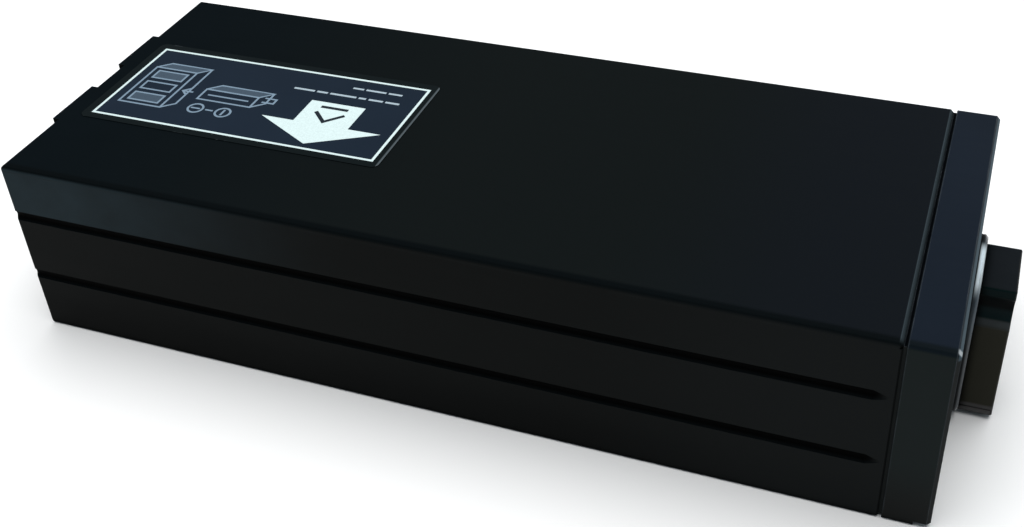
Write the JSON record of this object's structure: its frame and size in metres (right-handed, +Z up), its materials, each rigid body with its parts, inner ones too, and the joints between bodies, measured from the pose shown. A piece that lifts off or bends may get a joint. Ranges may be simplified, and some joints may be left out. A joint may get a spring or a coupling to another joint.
{
  "type": "ups battery cartridge",
  "caption": "Slim black battery cartridge for a rack UPS: grooved moulded case with a lid, front cap, pull handle, rear connector and sealed blocks wired in series inside.",
  "frame": {"origin": "centre of the flat underside of the case, midway along its moulded length and width", "axes": "+X towards the handle end, +Y towards the far long side, +Z up to the labelled top"},
  "size_m": [0.533, 0.203, 0.1118],
  "materials": {
    "case_plastic": "satin black moulded plastic",
    "cap_plastic": "satin blue-black moulded plastic",
    "grip_plastic": "matt black moulded plastic",
    "flange_plastic": "glossy black plastic with a domed rim",
    "label_film": "printed polyester film, dark navy with a white border and arrow",
    "block_case": "dark grey sealed battery case",
    "brass_parts": "tinned brass",
    "tinned_copper": "tinned copper strip",
    "zinc_steel": "zinc plated steel",
    "foam": "closed-cell foam",
    "inner_plastic": "black ribbed plastic",
    "connector_plastic": "dark grey glass-filled plastic",
    "fuse_body": "ceramic fuse body"
  },
  "bodies": {
    "root": {"battery_block_1": "block_case", "battery_block_2": "block_case", "battery_block_3": "block_case", "battery_block_4": "block_case", "battery_block_5": "block_case", "battery_block_6": "block_case", "battery_block_7": "block_case", "battery_block_8": "block_case", "bay_bracket": "inner_plastic", "block_terminals_1": "brass_parts", "block_terminals_2": "brass_parts", "block_terminals_3": "brass_parts", "block_terminals_4": "brass_parts", "block_terminals_5": "brass_parts", "block_terminals_6": "brass_parts", "block_terminals_7": "brass_parts", "block_terminals_8": "brass_parts", "cap_screws": "zinc_steel", "case_lid": "case_plastic", "case_tray": "case_plastic", "connector_screws": "zinc_steel", "contact_negative": "brass_parts", "contact_positive": "brass_parts", "end_spacer": "inner_plastic", "floor_pad": "foam", "front_cap": "cap_plastic", "fuse_base": "connector_plastic", "fuse_lead": "tinned_copper", "fuse_nuts": "zinc_steel", "fuse_studs": "brass_parts", "handle_backing_plate": "zinc_steel", "handle_flange": "flange_plastic", "handle_screws": "zinc_steel", "lid_pad_1": "foam", "lid_pad_2": "foam", "lid_pad_3": "foam", "lid_pad_4": "foam", "lid_pad_5": "foam", "negative_lead": "tinned_copper", "output_connector": "connector_plastic", "positive_lead": "tinned_copper", "pull_handle": "grip_plastic", "rear_pad_far": "foam", "rear_pad_near": "foam", "row_pad_1": "foam", "row_pad_2": "foam", "series_link_1_2": "tinned_copper", "series_link_2_3": "tinned_copper", "series_link_3_4": "tinned_copper", "series_link_4_5": "tinned_copper", "series_link_5_6": "tinned_copper", "series_link_6_7": "tinned_copper", "series_link_7_8": "tinned_copper", "string_fuse": "fuse_body", "top_label": "label_film"}
  },
  "joints": []
}
